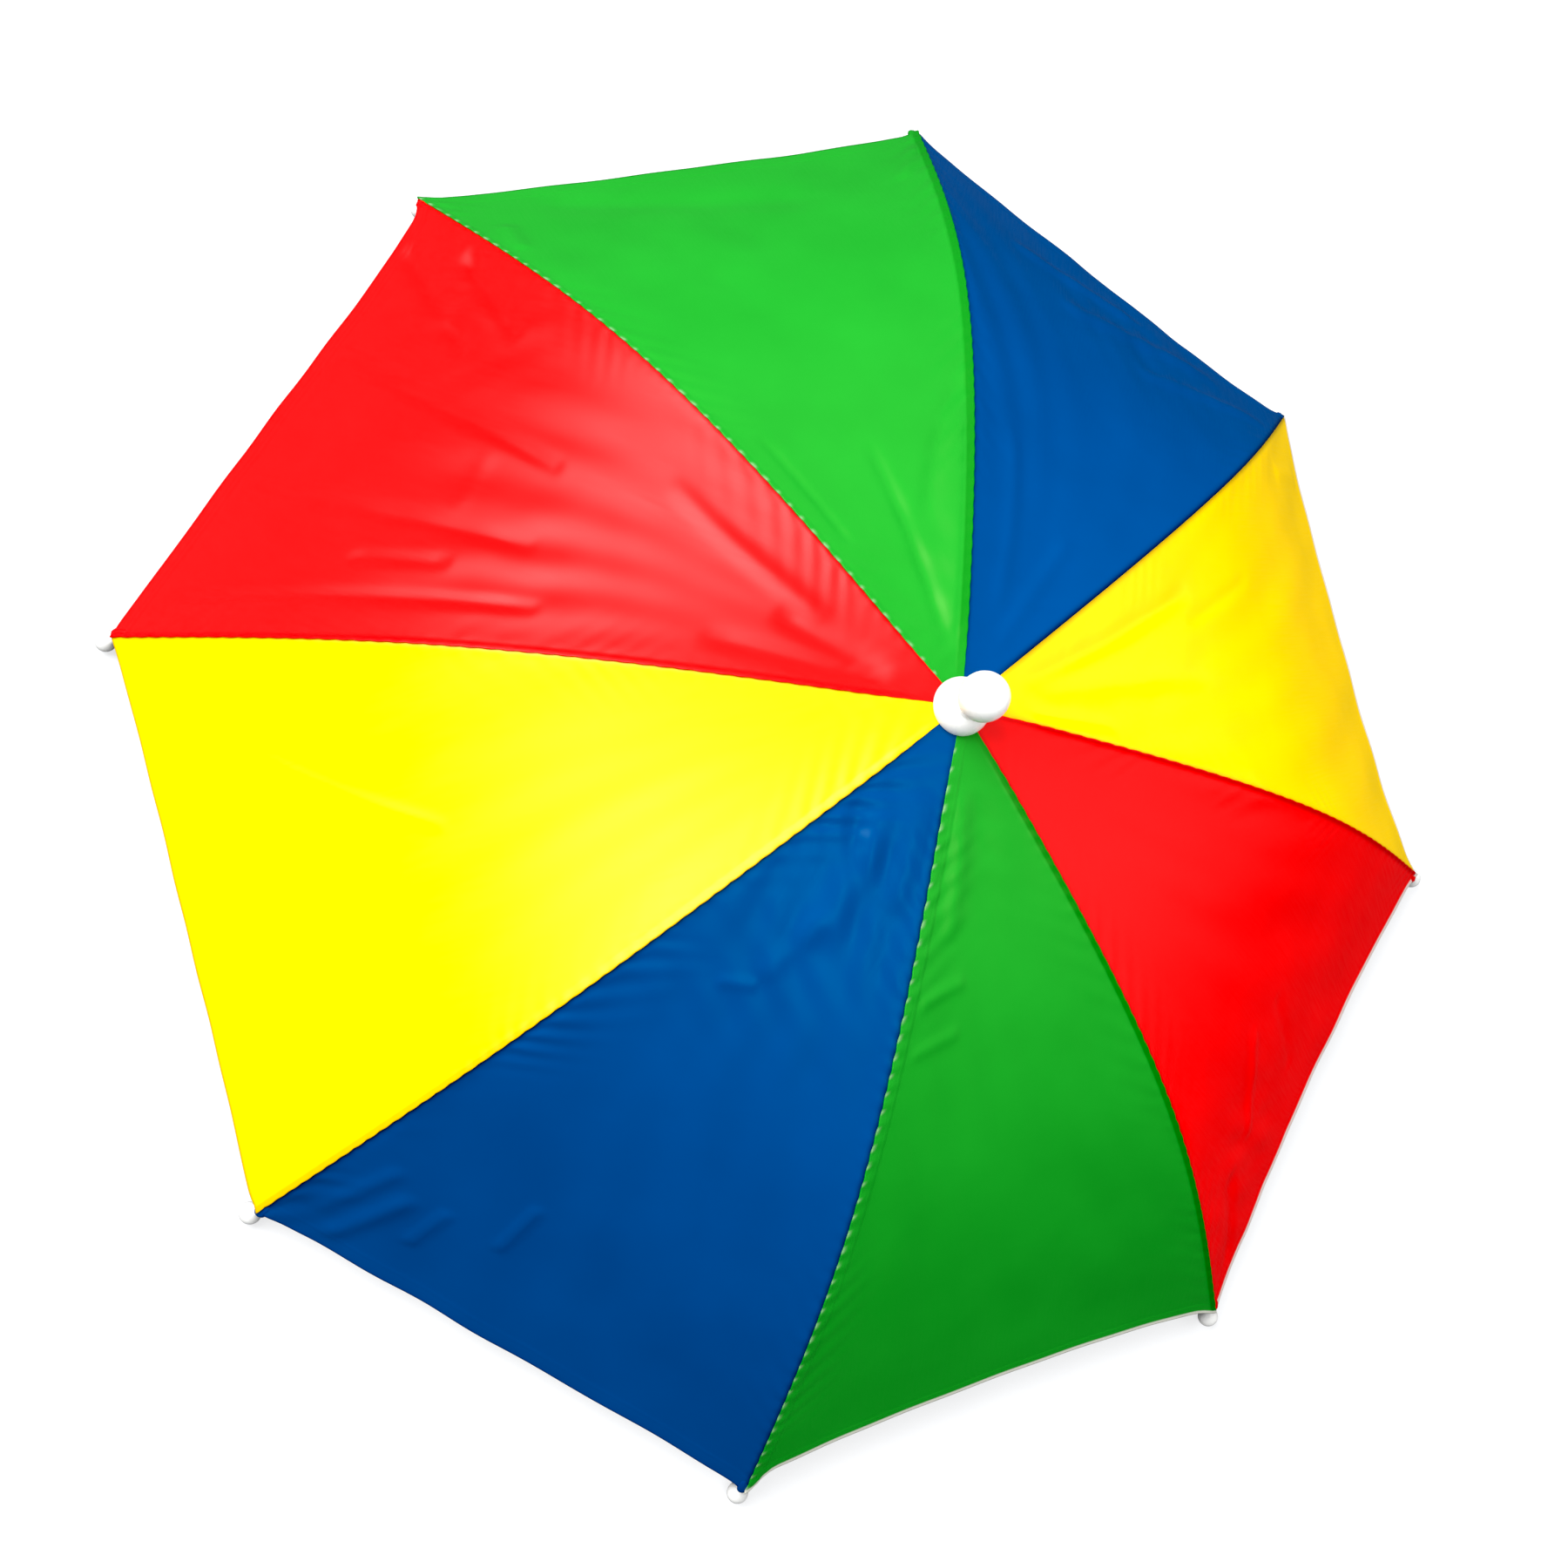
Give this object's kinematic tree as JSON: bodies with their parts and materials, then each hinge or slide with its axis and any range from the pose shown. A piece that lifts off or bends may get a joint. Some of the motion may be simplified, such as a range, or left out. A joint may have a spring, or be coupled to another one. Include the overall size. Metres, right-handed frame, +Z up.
{
  "type": "umbrella hat",
  "caption": "Open umbrella hat with coloured canopy gores on wire ribs, a white top knob, bead tips and an elastic headband under the canopy.",
  "frame": {"origin": "on the floor under the middle of the hat, where the post's line meets the plane that the eight beads stand on", "axes": "+Z up along the post, +X along the rib between the last red gore and the first green gore"},
  "size_m": [0.5582, 0.5605, 0.1764],
  "materials": {
    "red_cloth": "satin woven polyester",
    "yellow_cloth": "satin woven polyester",
    "green_cloth": "satin woven polyester",
    "blue_cloth": "satin woven polyester",
    "white_plastic": "moulded, glossy",
    "steel_wire": "drawn, zinc bright",
    "white_elastic": "ribbed woven elastic, matte"
  },
  "bodies": {
    "root": {"gore_1_green": "green_cloth", "rib_1": "steel_wire", "bead_1": "white_plastic", "stretcher_1": "steel_wire", "gore_2_blue": "blue_cloth", "rib_2": "steel_wire", "bead_2": "white_plastic", "stretcher_2": "steel_wire", "gore_3_yellow": "yellow_cloth", "rib_3": "steel_wire", "bead_3": "white_plastic", "stretcher_3": "steel_wire", "gore_4_red": "red_cloth", "rib_4": "steel_wire", "bead_4": "white_plastic", "stretcher_4": "steel_wire", "gore_5_green": "green_cloth", "rib_5": "steel_wire", "bead_5": "white_plastic", "stretcher_5": "steel_wire", "gore_6_blue": "blue_cloth", "rib_6": "steel_wire", "bead_6": "white_plastic", "stretcher_6": "steel_wire", "gore_7_yellow": "yellow_cloth", "rib_7": "steel_wire", "bead_7": "white_plastic", "stretcher_7": "steel_wire", "gore_8_red": "red_cloth", "rib_8": "steel_wire", "bead_8": "white_plastic", "stretcher_8": "steel_wire", "cap": "white_plastic", "knob": "white_plastic", "hub": "white_plastic", "runner": "white_plastic", "cradle": "white_plastic", "headband": "white_elastic"}
  },
  "joints": []
}
